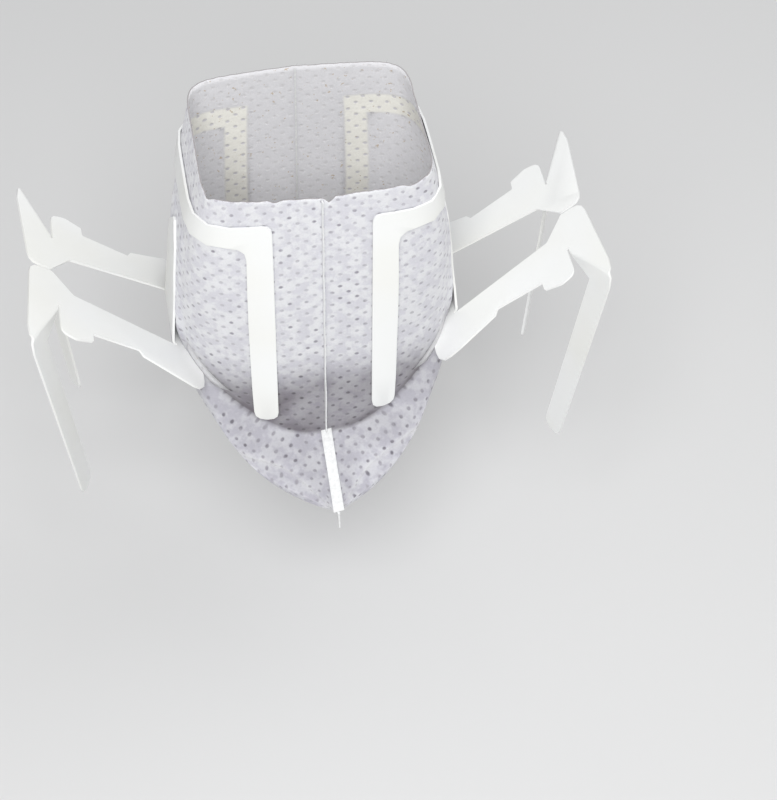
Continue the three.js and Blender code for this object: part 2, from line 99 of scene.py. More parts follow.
# short ways to build material nodes
class Shade:
    def __init__(self, name):
        self.material = bpy.data.materials.new(name)
        self.material.use_nodes = True
        self.nodes = self.material.node_tree.nodes
        self.links = self.material.node_tree.links
        self.surface = self.nodes["Principled BSDF"]

    def add(self, kind, **settings):
        node = self.nodes.new(kind)
        for key, value in settings.items():
            setattr(node, key, value)
        return node

    def math(self, operation, a, b=None, c=None, clamp=False):
        node = self.add("ShaderNodeMath", operation=operation, use_clamp=clamp)
        for i, value in enumerate((a, b, c)):
            self.feed(value, node.inputs[i])
        return node.outputs[0]

    def feed(self, value, socket):
        if value is None:
            return
        if isinstance(value, (int, float, tuple)):
            socket.default_value = value
        else:
            self.links.new(value, socket)

    def ramp(self, value, low, high, outLow=0.0, outHigh=1.0):
        node = self.add("ShaderNodeMapRange", interpolation_type="SMOOTHSTEP")
        for i, v in enumerate((value, low, high, outLow, outHigh)):
            self.feed(v, node.inputs[i])
        return node.outputs[0]

    def beyond(self, value, edge, soft):
        return self.ramp(value, edge - soft, edge + soft)

    def until(self, value, edge, soft):
        return self.ramp(value, edge - soft, edge + soft, 1.0, 0.0)

    def mix(self, factor, a, b, blend="MIX"):
        node = self.add("ShaderNodeMix", data_type="RGBA", blend_type=blend)
        self.feed(factor, node.inputs[0])
        self.feed(a, node.inputs[6])
        self.feed(b, node.inputs[7])
        return node.outputs[2]

    def coordinates(self, kind):
        node = self.add("ShaderNodeTexCoord")
        split = self.add("ShaderNodeSeparateXYZ")
        self.links.new(node.outputs[kind], split.inputs[0])
        return node.outputs[kind], split.outputs

    def noise(self, vector, scale, detail=3.0, roughness=0.5):
        node = self.add("ShaderNodeTexNoise")
        self.links.new(vector, node.inputs["Vector"])
        node.inputs["Scale"].default_value = scale
        node.inputs["Detail"].default_value = detail
        node.inputs["Roughness"].default_value = roughness
        return node.outputs["Fac"]

    def bump(self, height, strength, distance, normal=None):
        node = self.add("ShaderNodeBump")
        node.inputs["Strength"].default_value = strength
        node.inputs["Distance"].default_value = distance
        self.links.new(height, node.inputs["Height"])
        if normal is not None:
            self.links.new(normal, node.inputs["Normal"])
        return node.outputs["Normal"]

    def colour(self, value):
        self.feed(value, self.surface.inputs["Base Color"])


# nonwoven cloth
clothLook = {
    "dotPitchAcross": 3.1, "dotPitchDown": 2.95,  # mm, every second row is half a pitch over
    "dotHalfWidth": 0.47, "dotHalfHeight": 0.36, "dotDrift": 0.12, "dotSoft": (0.45, 1.25),
    "lit": (0.80, 0.81, 0.85, 1), "thin": (0.66, 0.66, 0.725, 1),
    "dot": (0.50, 0.49, 0.54, 1), "deepDot": (0.28, 0.27, 0.31, 1),
    "pressed": (0.84, 0.85, 0.85, 1), "tear": (0.42, 0.40, 0.41, 1),
    # dark tones for the coffee showing through and for the painted shadow along the crease
    "coffeeAndShadowTone": (0.075, 0.055, 0.07, 1), "dotCoffeeAndShadowTone": (0.045, 0.036, 0.04, 1),
    "insideLit": (0.77, 0.765, 0.80, 1), "insideDot": (0.69, 0.68, 0.70, 1),
    "cardBehind": (0.97, 0.96, 0.89, 1), "stain": (0.42, 0.30, 0.16, 1),
    "glow": 0.6, "glowDepth": 0.0015,  # light that comes through the thin cloth
    "fibreScale": 2600.0, "patchScale": 420.0, "cloudScale": 90.0, "stainScale": 1100.0,
    "dotToneScale": 330.0, "dotPress": 0.3, "roughness": 0.85, "sheen": 0.15,
}

# how the cloth darkens: the coffee showing through low down, and a painted shadow along the crease; the
# lobes below the crease face up and keep only a share of the darkening, which is painted light. Heights
# and reach in mm, the rest as shares of the dark coffee-and-shadow colour
coffeeAndCreaseShade = {
    "start": -9.0, "full": -23.0, "wall": 0.8, "creaseShadowReach": 9.0, "crease": 0.9,
    "sideTop": -14.0, "frontTop": -21.0, "side": 0.35, "litLobeShare": 0.42, "cloudy": 0.75,
}


def dotMask(shade, across, down):
    masks = []
    surfacePlace, _ = shade.coordinates("UV")
    drift = shade.noise(surfacePlace, 60.0, 1.0)
    centre = 0.5 - clothLook["dotDrift"] / 2
    for shift in (0.0, 0.5):
        x = shade.math("DIVIDE", across, clothLook["dotPitchAcross"])
        y = shade.math("DIVIDE", down, clothLook["dotPitchDown"])
        x = shade.math("FRACT", shade.math("ADD", x, shift))
        y = shade.math("FRACT", shade.math("ADD", y, shift))
        x = shade.math("SUBTRACT", x, shade.math("MULTIPLY_ADD", drift, clothLook["dotDrift"], centre))
        y = shade.math("SUBTRACT", y, 0.5)
        x = shade.math("MULTIPLY", x, clothLook["dotPitchAcross"] / clothLook["dotHalfWidth"])
        y = shade.math("MULTIPLY", y, clothLook["dotPitchDown"] / clothLook["dotHalfHeight"])
        squares = shade.math("ADD", shade.math("MULTIPLY", x, x), shade.math("MULTIPLY", y, y))
        away = shade.math("SQRT", squares)
        masks.append(shade.ramp(away, *clothLook["dotSoft"], 1.0, 0.0))
    return shade.math("MAXIMUM", masks[0], masks[1])


def cloth(name, inside):
    shade = Shade(name)
    shade.surface.inputs["Subsurface Weight"].default_value = clothLook["glow"]
    shade.surface.inputs["Subsurface Radius"].default_value = (1.0, 1.0, 1.0)
    shade.surface.inputs["Subsurface Scale"].default_value = clothLook["glowDepth"]
    place, axes = shade.coordinates("Object")
    _, flat = shade.coordinates("UV")
    across = shade.math("MULTIPLY", flat[0], 100.0)
    down = shade.math("MULTIPLY", flat[1], 100.0)
    height = shade.math("MULTIPLY", axes[2], 1000.0)
    dots = dotMask(shade, across, down)
    fibres = shade.noise(place, clothLook["fibreScale"], 4.0, 0.65)
    patches = shade.noise(place, clothLook["patchScale"], 3.0, 0.6)
    clouds = shade.noise(place, clothLook["cloudScale"], 2.0, 0.5)
    if inside:
        fromFront = shade.math("ABSOLUTE", across)
        fromSeam = shade.math("MINIMUM", fromFront, shade.math("SUBTRACT", wayRound, fromFront))
        away = shade.math("ABSOLUTE", shade.math("SUBTRACT", fromSeam, cardBand["middle"]))
        soft = cardBand["softEdge"]
        underTop = shade.until(height, cardBand["top"], soft)
        leg = shade.until(away, cardBand["half"], soft)
        leg = shade.math("MULTIPLY", leg, shade.beyond(height, cardBand["low"], soft))
        leg = shade.math("MULTIPLY", leg, underTop)
        bar = shade.beyond(height, cardBand["barLow"], soft)
        bar = shade.math("MULTIPLY", bar, underTop)
        bar = shade.math("MULTIPLY", bar, shade.beyond(fromSeam, cardBand["start"], soft))
        card = shade.math("MAXIMUM", leg, bar)
        glow = shade.math("MULTIPLY_ADD", card, -clothLook["glow"], clothLook["glow"])
        shade.feed(glow, shade.surface.inputs["Subsurface Weight"])
        base = shade.mix(card, clothLook["insideLit"], clothLook["cardBehind"])
        dotted = shade.mix(dots, base, clothLook["insideDot"])
        stains = shade.ramp(shade.noise(place, clothLook["stainScale"], 2.0), 0.66, 0.74)
        stains = shade.math("MULTIPLY", stains, 0.7)
        dotted = shade.mix(stains, dotted, clothLook["stain"])
    else:
        fold = shade.add("ShaderNodeUVMap", uv_map="fold")
        split = shade.add("ShaderNodeSeparateXYZ")
        shade.links.new(fold.outputs[0], split.inputs[0])
        above = shade.math("MULTIPLY", split.outputs[0], 100.0)
        look = coffeeAndCreaseShade
        # the coffee showing through darkens the cloth low down
        coffeeAndShadow = shade.ramp(height, look["full"], look["start"], look["wall"], 0.0)
        # painted shadow in a band along the crease, fading higher up the sides
        creaseShadowBand = shade.ramp(above, 0.5, look["creaseShadowReach"], look["crease"], 0.0)
        lower = shade.ramp(height, look["frontTop"], look["sideTop"], 1.0, look["side"])
        creaseShadowBand = shade.math("MULTIPLY", creaseShadowBand, lower)
        coffeeAndShadow = shade.math("MAXIMUM", coffeeAndShadow, creaseShadowBand)
        # painted light: the lobes below the crease face up, so they keep only a share of the darkening
        coffeeAndShadow = shade.math("MULTIPLY", coffeeAndShadow, shade.ramp(above, -0.6, 0.6, look["litLobeShare"], 1.0))
        coffeeAndShadow = shade.math("MULTIPLY", coffeeAndShadow, shade.ramp(clouds, 0.3, 0.62, look["cloudy"], 1.0))
        base = shade.mix(shade.ramp(patches, 0.4, 0.6), clothLook["thin"], clothLook["lit"])
        base = shade.mix(coffeeAndShadow, base, clothLook["coffeeAndShadowTone"])
        deeper = shade.ramp(shade.noise(place, clothLook["dotToneScale"], 1.0), 0.5, 0.68)
        dotColour = shade.mix(deeper, clothLook["dot"], clothLook["deepDot"])
        dotColour = shade.mix(coffeeAndShadow, dotColour, clothLook["dotCoffeeAndShadowTone"])
        dotted = shade.mix(dots, base, dotColour)
    strands = shade.mix(shade.ramp(fibres, 0.3, 0.7), (0.93, 0.93, 0.93, 1), (1.0, 1.0, 1.0, 1))
    shade.colour(shade.mix(1.0, dotted, strands, "MULTIPLY"))
    shade.surface.inputs["Roughness"].default_value = clothLook["roughness"]
    shade.surface.inputs["Sheen Weight"].default_value = clothLook["sheen"]
    pressed = shade.math("MULTIPLY", dots, -1.0)
    normal = shade.bump(pressed, clothLook["dotPress"], 0.0002)
    normal = shade.bump(fibres, 0.35, 0.0001, normal)
    normal = shade.bump(patches, 0.4, 0.0003, normal)
    shade.links.new(normal, shade.surface.inputs["Normal"])
    return shade.material


def pressedCloth(name, colour):
    # cloth without its dots: the fused seal bands and the torn rim
    shade = Shade(name)
    place, _ = shade.coordinates("Object")
    fibres = shade.noise(place, 1500.0, 4.0, 0.6)
    darker = tuple(c * 0.86 for c in colour[:3]) + (1,)
    shade.colour(shade.mix(shade.ramp(fibres, 0.3, 0.7), darker, colour))
    shade.surface.inputs["Roughness"].default_value = 0.7
    shade.links.new(shade.bump(fibres, 0.3, 0.0001), shade.surface.inputs["Normal"])
    return shade.material


# card and coffee
cardLook = {"face": (0.87, 0.88, 0.875, 1), "warm": (0.85, 0.855, 0.825, 1), "roughness": 0.38}
coffeeLook = {"dark": (0.035, 0.018, 0.010, 1), "light": (0.13, 0.075, 0.042, 1)}


def cardBoard():
    shade = Shade("coatedCard")
    place, _ = shade.coordinates("Object")
    clouds = shade.noise(place, 45.0, 2.0)
    grain = shade.noise(place, 1800.0, 3.0)
    shade.colour(shade.mix(shade.ramp(clouds, 0.35, 0.7), cardLook["face"], cardLook["warm"]))
    shade.surface.inputs["Roughness"].default_value = cardLook["roughness"]
    normal = shade.bump(grain, 0.12, 0.0001)
    normal = shade.bump(clouds, 0.25, 0.0006, normal)
    shade.links.new(normal, shade.surface.inputs["Normal"])
    return shade.material


def coffeeGrain():
    shade = Shade("coffeeGrain")
    place, _ = shade.coordinates("Object")
    tone = shade.noise(place, 900.0, 3.0)
    shade.colour(shade.mix(shade.ramp(tone, 0.3, 0.7), coffeeLook["dark"], coffeeLook["light"]))
    shade.surface.inputs["Roughness"].default_value = 0.7
    shade.links.new(shade.bump(tone, 0.6, 0.0003), shade.surface.inputs["Normal"])
    return shade.material


# shape of the bag
bag = {
    "mouthZ": 29.0, "mouthFrontZ": 27.4, "mouthRearZ": 31.0, "mouthHalfX": 20.5, "mouthHalfY": 16.0,
    "mouthSquareness": 7.0, "bellyZ": -9.0, "bellyHalfX": 26.2, "bellySquareness": 2.8,
    "bellyFlare": 1.8, "underBellyTaper": 0.008, "sideCreaseZ": -14.3, "frontCreaseZ": -32.0,
    "frontCreaseHalfY": 18.0,
    "creaseStart": 4.0, "creaseEnd": 34.0, "bottomSealTopZ": -38.0, "bottomSealHeight": 4.0,
    "bottomHalfLength": 34.5, "cornerPinch": 1.5, "cornerArc": 15.0, "cornerBulge": 8.0,
    "cornerBulgeArc": 20.0, "sideBulge": 7.0, "creasePinch": 0.45,
    "pinchReach": 5.0, "thickness": 0.22, "insideEndZ": -21.0,
    "columns": 112, "upperRows": 84, "lowerRows": 30,
    "tearDepth": 0.45, "tearRough": 0.13, "sealWidth": 1.3, "sealHalfThickness": 0.16,
    "bottomSealHalfThickness": 0.22, "puff": 0.16, "stretch": 0.14,
}


def clamp(value):
    return min(1.0, max(0.0, value))


def smooth(value):
    value = clamp(value)
    return value * value * (3 - 2 * value)


def between(a, b, t):
    return a + (b - a) * t


quarters = {}


def quarterSection(z):
    key = round(z, 3)
    if key not in quarters:
        down = (bag["mouthZ"] - z) / (bag["mouthZ"] - bag["bellyZ"])
        spread = 1 - (1 - clamp(down)) ** bag["bellyFlare"]
        under = max(0.0, bag["bellyZ"] - z)
        halfX = between(bag["mouthHalfX"], bag["bellyHalfX"], spread)
        halfX -= bag["underBellyTaper"] * under ** 2
        deep = (bag["mouthZ"] - z) / (bag["mouthZ"] - bag["frontCreaseZ"])
        halfY = between(bag["mouthHalfY"], bag["frontCreaseHalfY"], deep)
        power = 2 / between(bag["mouthSquareness"], bag["bellySquareness"], clamp(down) ** 0.6)
        points, length = [], 0.0
        for i in range(97):
            angle = math.pi / 2 * i / 96
            x = 0.0 if i == 96 else halfX * math.cos(angle) ** power
            y = halfY * math.sin(angle) ** power
            if points:
                length += math.hypot(x - points[-1][0], y - points[-1][1])
            points.append((x, y, length))
        quarters[key] = points
    return quarters[key]


def wallPoint(arc, z, lift):
    points = quarterSection(z)
    wanted = min(abs(arc), points[-1][2])
    low, high = 1, len(points) - 1
    while low < high:
        middle = (low + high) // 2
        if points[middle][2] < wanted:
            low = middle + 1
        else:
            high = middle
    a, b = points[low - 1], points[low]
    t = (wanted - a[2]) / ((b[2] - a[2]) or 1)
    sign = -1 if arc < 0 else 1
    normal = Vector((b[1] - a[1], a[0] - b[0])).normalized()
    x = between(a[0], b[0], t) + normal.x * lift
    y = between(a[1], b[1], t) + normal.y * lift
    return Vector((x, sign * y, z))


def sectionLength(z):
    return quarterSection(z)[-1][2]


def creaseRise(fromSeam):
    return smooth((fromSeam - bag["creaseStart"]) / (bag["creaseEnd"] - bag["creaseStart"]))


def lobeSwell(fromSeam, t):
    corner = bag["cornerBulge"] * smooth(fromSeam / bag["cornerBulgeArc"]) * 4 * t * (1 - t)
    side = bag["sideBulge"] * math.sin(math.pi * t ** 0.6)
    return between(corner, side, creaseRise(fromSeam))


# notches torn deeper: side, share of the way from the front seam, depth in mm, half width as a share
notches = [
    (-1, 0.30, 1.1, 0.02), (1, 0.02, 1.3, 0.016), (1, 0.24, 0.7, 0.03),
    (-1, 0.12, 0.5, 0.02), (1, 0.60, 0.6, 0.03),
]


def tornEdge(side, fraction):
    wave = 0.5 + 0.25 * (math.sin(fraction * 47) + math.sin(fraction * 113 + 1))
    z = between(bag["mouthFrontZ"], bag["mouthRearZ"], fraction)
    z -= bag["tearDepth"] * between(0.5, 0.2, fraction) * wave
    rough = noise.fractal(Vector((fraction * 60, side * 7.0, 3.0)), 0.6, 2.2, 5)
    z += bag["tearRough"] * rough
    for notchSide, where, depth, width in notches:
        if notchSide == side:
            z -= depth * max(0.0, 1 - abs(fraction - where) / width)
    return z


def wrinkle(side, fraction, z):
    place = Vector((fraction * 4.2 + side * 11.0, z * 0.055, 5.0))
    soft = noise.noise(place) * 0.5 + 0.25 * noise.noise(place * 2.7)
    fade = clamp(min(fraction, 1 - fraction) * 10)
    return bag["stretch"] + bag["puff"] * 2.2 * soft * fade


tongueHug = {"halfWidth": 8.5, "low": -17.0, "top": 14.0, "lift": 0.3, "lowerLift": 0.5}


def hugCard(arc, z):
    # the cloth is drawn out to the card tongue that is glued on each side
    near = smooth((tongueHug["halfWidth"] - abs(arc)) / 2)
    near *= smooth((z - tongueHug["low"]) / 3) * smooth((tongueHug["top"] - z) / 3)
    return near * (tongueHug["lift"] + tongueHug["lowerLift"] * smooth((-z - 1) / 8))


def bagSide(side):
    # outer grid of one half, from the torn edge down to the bottom seal
    # each entry is a point, its place across and down the cloth, and its height above the crease, in mm
    columns, rows = bag["columns"], bag["upperRows"]
    quarter = sectionLength(bag["sideCreaseZ"])
    clothWidth = 2 * sectionLength(0.0)
    grid = []
    for i in range(rows + 1):
        row = []
        for j in range(columns + 1):
            fraction = j / columns
            around = 2 * fraction - 1
            fromSeam = quarter * (1 - abs(around))
            low = between(bag["frontCreaseZ"], bag["sideCreaseZ"], creaseRise(fromSeam))
            z = between(tornEdge(side, fraction), low, i / rows)
            arc = around * sectionLength(z)
            pinch = bag["creasePinch"] * (1 - smooth((z - low) / bag["pinchReach"]))
            pinch *= smooth((fromSeam - 2) / 6)
            point = wallPoint(arc, z, wrinkle(side, fraction, z) + hugCard(arc, z) - pinch)
            if j in (0, columns):
                point.x = 0.0
            place = Vector((side * point.x, point.y, point.z))
            row.append((place, side * clothWidth * fraction, -z, z - low))
        grid.append(row)
    crease = grid[-1]
    bottom = []
    for j in range(columns + 1):
        arc = quarter * (2 * j / columns - 1)
        share = min(1.0, abs(arc) / bag["cornerArc"])
        past = max(0.0, abs(arc) - bag["cornerArc"]) / (quarter - bag["cornerArc"])
        reach = bag["bottomHalfLength"] - bag["cornerPinch"] * (1 - past)
        bottom.append(Vector((0, math.copysign(share * reach, arc), bag["bottomSealTopZ"])))
    for i in range(1, bag["lowerRows"] + 1):
        t = i / bag["lowerRows"]
        row = []
        for j in range(columns + 1):
            start, across, down, _ = crease[j]
            along = (bottom[j] - start).normalized()
            outwards = Vector((0, 1, 0)).cross(along).normalized()
            if outwards.x * side < 0:
                outwards.negate()
            fromSeam = quarter * (1 - abs(2 * j / columns - 1))
            soft = noise.noise(Vector((j / columns * 9 + side * 3, t * 2.5, 9)))
            soft *= 0.5 * math.sin(math.pi * t) * clamp(fromSeam / 6)
            point = start.lerp(bottom[j], t) + outwards * (lobeSwell(fromSeam, t) + soft)
            run = (bottom[j] - start).length * t
            row.append((point, across, down + run, -run))
        grid.append(row)
    return grid


farAbove = 50  # mm above the crease, given to the lining, which has no crease


def filterCloth(outsideMaterial, insideMaterial, tornMaterial):
    builder = bmesh.new()
    flat = builder.loops.layers.uv.new("cloth")
    fold = builder.loops.layers.uv.new("fold")

    def face(corners, material):
        verts = [corner[0] for corner in corners]
        if len(set(verts)) < 3:
            return
        made = builder.faces.new(verts)
        made.material_index = material
        made.smooth = True
        for loop, corner in zip(made.loops, corners):
            loop[flat].uv = (corner[1] / 100, corner[2] / 100)
            loop[fold].uv = (corner[3] / 100, 0)

    for side in (1, -1):
        outer = bagSide(side)
        columns = bag["columns"]
        shell = [[(builder.verts.new(p * mm), u, v, w) for p, u, v, w in row] for row in outer]
        for i in range(len(shell) - 1):
            for j in range(columns):
                quad = [shell[i][j], shell[i + 1][j], shell[i + 1][j + 1], shell[i][j + 1]]
                face(quad if side > 0 else quad[::-1], 0)
        lining = []
        insideRows = bag["upperRows"] // 2
        for i in range(insideRows + 1):
            row = []
            for j in range(columns + 1):
                around = 2 * j / columns - 1
                top = outer[0][j][0].z
                z = between(top, bag["insideEndZ"], i / insideRows)
                lift = wrinkle(side, j / columns, z) - bag["thickness"]
                point = wallPoint(around * sectionLength(z), z, lift)
                if j in (0, columns):
                    point.x = 0.0
                vert = builder.verts.new(Vector((side * point.x, point.y, z)) * mm)
                row.append((vert, outer[0][j][1], -z, farAbove))
            lining.append(row)
        for i in range(insideRows):
            for j in range(columns):
                quad = [lining[i][j + 1], lining[i + 1][j + 1], lining[i + 1][j], lining[i][j]]
                face(quad if side > 0 else quad[::-1], 1)
        for j in range(columns):
            quad = [shell[0][j], shell[0][j + 1], lining[0][j + 1], lining[0][j]]
            face(quad if side > 0 else quad[::-1], 2)
        middle = (builder.verts.new(Vector((0, 0, bag["insideEndZ"])) * mm), 0, 0, farAbove)
        for j in range(columns):
            tri = [lining[-1][j], lining[-1][j + 1], middle]
            face(tri if side > 0 else tri[::-1], 1)
    bmesh.ops.remove_doubles(builder, verts=builder.verts, dist=1e-6)
    mesh = bpy.data.meshes.new("filterCloth")
    builder.to_mesh(mesh)
    builder.free()
    mesh.materials.append(outsideMaterial)
    mesh.materials.append(insideMaterial)
    mesh.materials.append(tornMaterial)
    piece = bpy.data.objects.new("filterCloth", mesh)
    bpy.context.scene.collection.objects.link(piece)
    return piece


def ribbon(builder, roots, tips, halfThick, flat):
    # a strip of two pressed layers between a row of roots and a row of tips
    rows = []
    run = 0.0
    for i, (root, tip) in enumerate(zip(roots, tips)):
        if i:
            run += (root - roots[i - 1]).length
        ahead = roots[min(i + 1, len(roots) - 1)] - roots[max(i - 1, 0)]
        normal = ahead.cross(tip - root).normalized() * halfThick
        ring = [root + normal, tip + normal * 0.6, tip - normal * 0.6, root - normal]
        rows.append([(builder.verts.new(p * mm), run, w) for p, w in zip(ring, (0, 2, 2.2, 4.2))])
    for a, b in zip(rows, rows[1:]):
        for k in range(4):
            quad = [a[k], a[(k + 1) % 4], b[(k + 1) % 4], b[k]]
            made = builder.faces.new([corner[0] for corner in quad])
            made.smooth = False
            for loop, corner in zip(made.loops, quad):
                loop[flat].uv = (corner[2] / 100, corner[1] / 100)
    builder.faces.new([corner[0] for corner in rows[0]][::-1])
    builder.faces.new([corner[0] for corner in rows[-1]])


def sealRibbons(material):
    builder = bmesh.new()
    flat = builder.loops.layers.uv.new("cloth")
    for facing in (-1, 1):
        top = (bag["mouthFrontZ"] if facing < 0 else bag["mouthRearZ"]) - 0.6
        roots, tips = [], []
        steps = 70
        for i in range(steps + 1):
            z = between(top, bag["frontCreaseZ"], i / steps)
            y = facing * (quarterSection(z)[-1][1] - 0.15)
            sway = 0.05 * math.sin(z * 0.5) + 0.1
            wide = bag["sealWidth"] * (0.8 + 0.05 * noise.noise(Vector((0, facing, z * 0.3))))
            roots.append(Vector((0, y, z)))
            tips.append(Vector((sway, y + facing * wide, z)))
        ribbon(builder, roots, tips, bag["sealHalfThickness"], flat)
        lobeRoots, lobeTips = [], []
        for i in range(31):
            t = i / 30
            y = facing * between(bag["frontCreaseHalfY"] - 0.2, bag["bottomHalfLength"] - 0.5, t)
            z = between(bag["frontCreaseZ"], bag["bottomSealTopZ"], t)
            lobeRoots.append(Vector((-0.9, y, z + 0.25)))
            lobeTips.append(Vector((1.1, y, z + 0.7 + 0.15 * math.sin(t * 9))))
        ribbon(builder, lobeRoots, lobeTips, bag["sealHalfThickness"], flat)
    roots, tips = [], []
    for i in range(81):
        y = between(-bag["bottomHalfLength"], bag["bottomHalfLength"], i / 80)
        sway = 0.35 * math.sin(y * 0.18) + 0.12 * math.sin(y * 0.7)
        roots.append(Vector((0, y, bag["bottomSealTopZ"] + 0.3)))
        edgeZ = bag["bottomSealTopZ"] - bag["bottomSealHeight"] + 0.12 * math.sin(y * 2.3)
        tips.append(Vector((sway, y, edgeZ)))
    ribbon(builder, roots, tips, bag["bottomSealHalfThickness"], flat)
    bmesh.ops.recalc_face_normals(builder, faces=builder.faces)
    mesh = bpy.data.meshes.new("sealRibbons")
    builder.to_mesh(mesh)
    builder.free()
    mesh.materials.append(material)
    piece = bpy.data.objects.new("sealRibbons", mesh)
    bpy.context.scene.collection.objects.link(piece)
    return piece


# where the card frame shows through the lining, in mm round from the front seam and in height
cardBand = {"half": 2.25, "low": -26.6, "top": 22.5, "barLow": 17.9, "softEdge": 0.4, "fromSide": 25.9}
wayRound = 2 * sectionLength(0.0)
topRound = 2 * sectionLength(cardBand["top"])
cardBand["start"] = (topRound / 2 - cardBand["fromSide"]) * wayRound / topRound
cardBand["middle"] = cardBand["start"] + cardBand["half"]

clothOutside = cloth("nonwovenOutside", False)
clothInside = cloth("nonwovenInside", True)
cardMaterial = cardBoard()
grainMaterial = coffeeGrain()

bagPiece = filterCloth(clothOutside, clothInside, pressedCloth("tornRim", clothLook["tear"]))
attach(bagPiece, "root")
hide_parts("filter_bag")
seals = sealRibbons(pressedCloth("heatSeal", clothLook["pressed"]))
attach(seals, "root")
print("filter cloth and seals made")


# card pieces, from their frame nodes
cardEdge = {"bevel": 0.09 * mm, "segments": 2, "sharp": 40, "flat": 0.3}  # angles in degrees


def cardPiece(nodeName, pieceName):
    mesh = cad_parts[nodeName].data.copy()
    mesh.name = pieceName
    builder = bmesh.new()
    builder.from_mesh(mesh)
    bmesh.ops.remove_doubles(builder, verts=builder.verts, dist=1e-6)
    flatEnough = math.radians(cardEdge["flat"])
    bmesh.ops.dissolve_limit(builder, angle_limit=flatEnough, verts=builder.verts, edges=builder.edges)
    for made in builder.faces:
        made.smooth = True
    builder.to_mesh(mesh)
    builder.free()
    mesh.set_sharp_from_angle(angle=math.radians(cardEdge["sharp"]))
    mesh.materials.clear()
    mesh.materials.append(cardMaterial)
    piece = bpy.data.objects.new(pieceName, mesh)
    bpy.context.scene.collection.objects.link(piece)
    bevel = piece.modifiers.new("cutEdge", "BEVEL")
    bevel.width = cardEdge["bevel"]
    bevel.segments = cardEdge["segments"]
    bevel.limit_method = "ANGLE"
    bevel.angle_limit = math.radians(cardEdge["sharp"])
    bevel.harden_normals = False
    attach(piece, "root")
    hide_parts(nodeName)
    return piece


cardNames = {
    "right_ear": "rightEar", "left_ear": "leftEar",
    "right_mouth_frame": "rightMouthFrame", "left_mouth_frame": "leftMouthFrame",
}
for nodeName, pieceName in cardNames.items():
    cardPiece(nodeName, pieceName)
print("card ears and mouth frames made")


# repeated grains and fibres
grounds = {"perSquareMetre": 2400000, "size": 0.5 * mm, "tilt": 3.1, "seed": 4}
fuzz = {"fibres": 150, "length": 0.6, "tilt": 0.9, "seed": 9}


def newTree(name, inputs):
    tree = bpy.data.node_groups.new(name, "GeometryNodeTree")
    tree.interface.new_socket("Geometry", in_out="INPUT", socket_type="NodeSocketGeometry")
    for label, kind in inputs:
        tree.interface.new_socket(label, in_out="INPUT", socket_type=kind)
    tree.interface.new_socket("Geometry", in_out="OUTPUT", socket_type="NodeSocketGeometry")
    return tree, tree.nodes.new("NodeGroupInput"), tree.nodes.new("NodeGroupOutput")


def endTree(tree, instances, material, groupOut):
    real = tree.nodes.new("GeometryNodeRealizeInstances")
    paint = tree.nodes.new("GeometryNodeSetMaterial")
    paint.inputs["Material"].default_value = material
    tree.links.new(instances, real.inputs[0])
    tree.links.new(real.outputs[0], paint.inputs[0])
    tree.links.new(paint.outputs[0], groupOut.inputs[0])


def spread(tree, points, instance, sizeSocket, seedSocket, tilt):
    place = tree.nodes.new("GeometryNodeInstanceOnPoints")
    turn = tree.nodes.new("FunctionNodeRandomValue")
    turn.data_type = "FLOAT_VECTOR"
    turn.inputs[0].default_value = (-tilt, -tilt, 0)
    turn.inputs[1].default_value = (tilt, tilt, 6.283)
    grow = tree.nodes.new("FunctionNodeRandomValue")
    grow.data_type = "FLOAT"
    grow.inputs[2].default_value = 0.45
    grow.inputs[3].default_value = 1.25
    scale = tree.nodes.new("ShaderNodeMath")
    scale.operation = "MULTIPLY"
    tree.links.new(seedSocket, turn.inputs["Seed"])
    tree.links.new(seedSocket, grow.inputs["Seed"])
    tree.links.new(grow.outputs[1], scale.inputs[0])
    tree.links.new(sizeSocket, scale.inputs[1])
    tree.links.new(points, place.inputs["Points"])
    tree.links.new(instance, place.inputs["Instance"])
    tree.links.new(turn.outputs[0], place.inputs["Rotation"])
    tree.links.new(scale.outputs[0], place.inputs["Scale"])
    return place.outputs[0]


def grainTree():
    inputs = (("Density", "NodeSocketFloat"), ("Grain Size", "NodeSocketFloat"), ("Seed", "NodeSocketInt"))
    tree, groupIn, groupOut = newTree("looseGrains", inputs)
    scatter = tree.nodes.new("GeometryNodeDistributePointsOnFaces")
    grain = tree.nodes.new("GeometryNodeMeshIcoSphere")
    grain.inputs["Radius"].default_value = 1.0
    grain.inputs["Subdivisions"].default_value = 1
    tree.links.new(groupIn.outputs["Geometry"], scatter.inputs["Mesh"])
    tree.links.new(groupIn.outputs["Density"], scatter.inputs["Density"])
    tree.links.new(groupIn.outputs["Seed"], scatter.inputs["Seed"])
    size, seed = groupIn.outputs["Grain Size"], groupIn.outputs["Seed"]
    instances = spread(tree, scatter.outputs["Points"], grain.outputs["Mesh"], size, seed, grounds["tilt"])
    endTree(tree, instances, grainMaterial, groupOut)
    return tree


def fuzzTree():
    inputs = (("Count", "NodeSocketInt"), ("Fibre Length", "NodeSocketFloat"), ("Seed", "NodeSocketInt"))
    tree, groupIn, groupOut = newTree("tornFuzz", inputs)
    line = tree.nodes.new("GeometryNodeMeshToCurve")
    points = tree.nodes.new("GeometryNodeCurveToPoints")
    points.mode = "COUNT"
    fibre = tree.nodes.new("GeometryNodeObjectInfo")
    fibre.inputs["Object"].default_value = bpy.data.objects["fibreShape"]
    tree.links.new(groupIn.outputs["Geometry"], line.inputs[0])
    tree.links.new(line.outputs[0], points.inputs[0])
    tree.links.new(groupIn.outputs["Count"], points.inputs["Count"])
    size, seed = groupIn.outputs["Fibre Length"], groupIn.outputs["Seed"]
    instances = spread(tree, points.outputs["Points"], fibre.outputs["Geometry"], size, seed, fuzz["tilt"])
    endTree(tree, instances, clothOutside, groupOut)
    return tree


